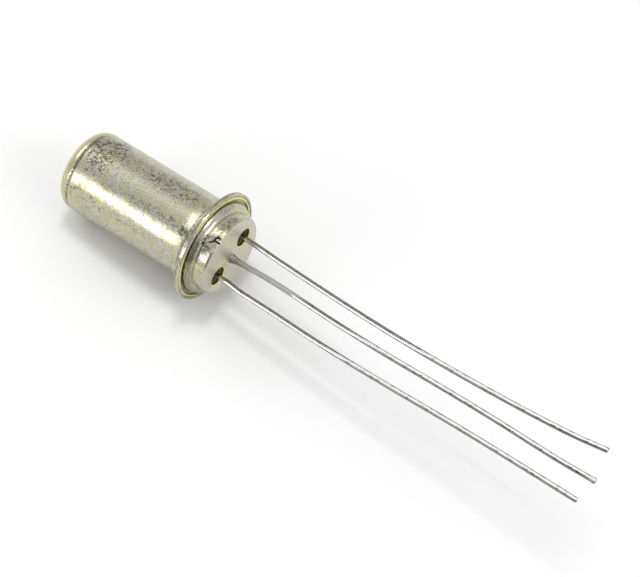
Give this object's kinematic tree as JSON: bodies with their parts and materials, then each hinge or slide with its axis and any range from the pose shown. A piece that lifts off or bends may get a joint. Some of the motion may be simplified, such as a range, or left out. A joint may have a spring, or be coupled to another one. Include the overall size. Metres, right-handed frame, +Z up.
{
  "type": "germanium transistor",
  "caption": "Germanium transistor: a plated metal can with a flanged, glass-sealed header and long wire leads in a row, lying on its side.",
  "frame": {"origin": "bottom centre of the bounding box, on the surface the transistor lies on", "axes": "+X from the can's closed end towards the lead tips, +Z up; the can's own axis rises 5.9 degrees towards +X because the part rests on its flange and on the can's end"},
  "size_m": [0.0564, 0.0108, 0.011],
  "materials": {
    "can_plating": "dull tin plating with mottled grey and olive tarnish",
    "header_plating": "satin plating, darkened in the weld groove",
    "seal_glass": "near-black sealing glass",
    "tinned_wire": "bright drawn wire, tinned",
    "welded_wire": "drawn wire, dull grey near the weld",
    "nickel_plate": "bright rolled nickel",
    "germanium": "etched dark grey crystal",
    "alloy": "soft grey alloyed metal",
    "link_wire": "fine nickel wire"
  },
  "bodies": {
    "root": {"cap": "can_plating", "header": "header_plating", "bead_emitter": "seal_glass", "bead_collector": "seal_glass", "lead_emitter": "tinned_wire", "lead_base": "welded_wire", "lead_collector": "tinned_wire", "crystal_holder": "nickel_plate", "germanium_wafer": "germanium", "emitter_pellet": "alloy", "collector_pellet": "alloy", "emitter_link": "link_wire", "collector_link": "link_wire"}
  },
  "joints": []
}
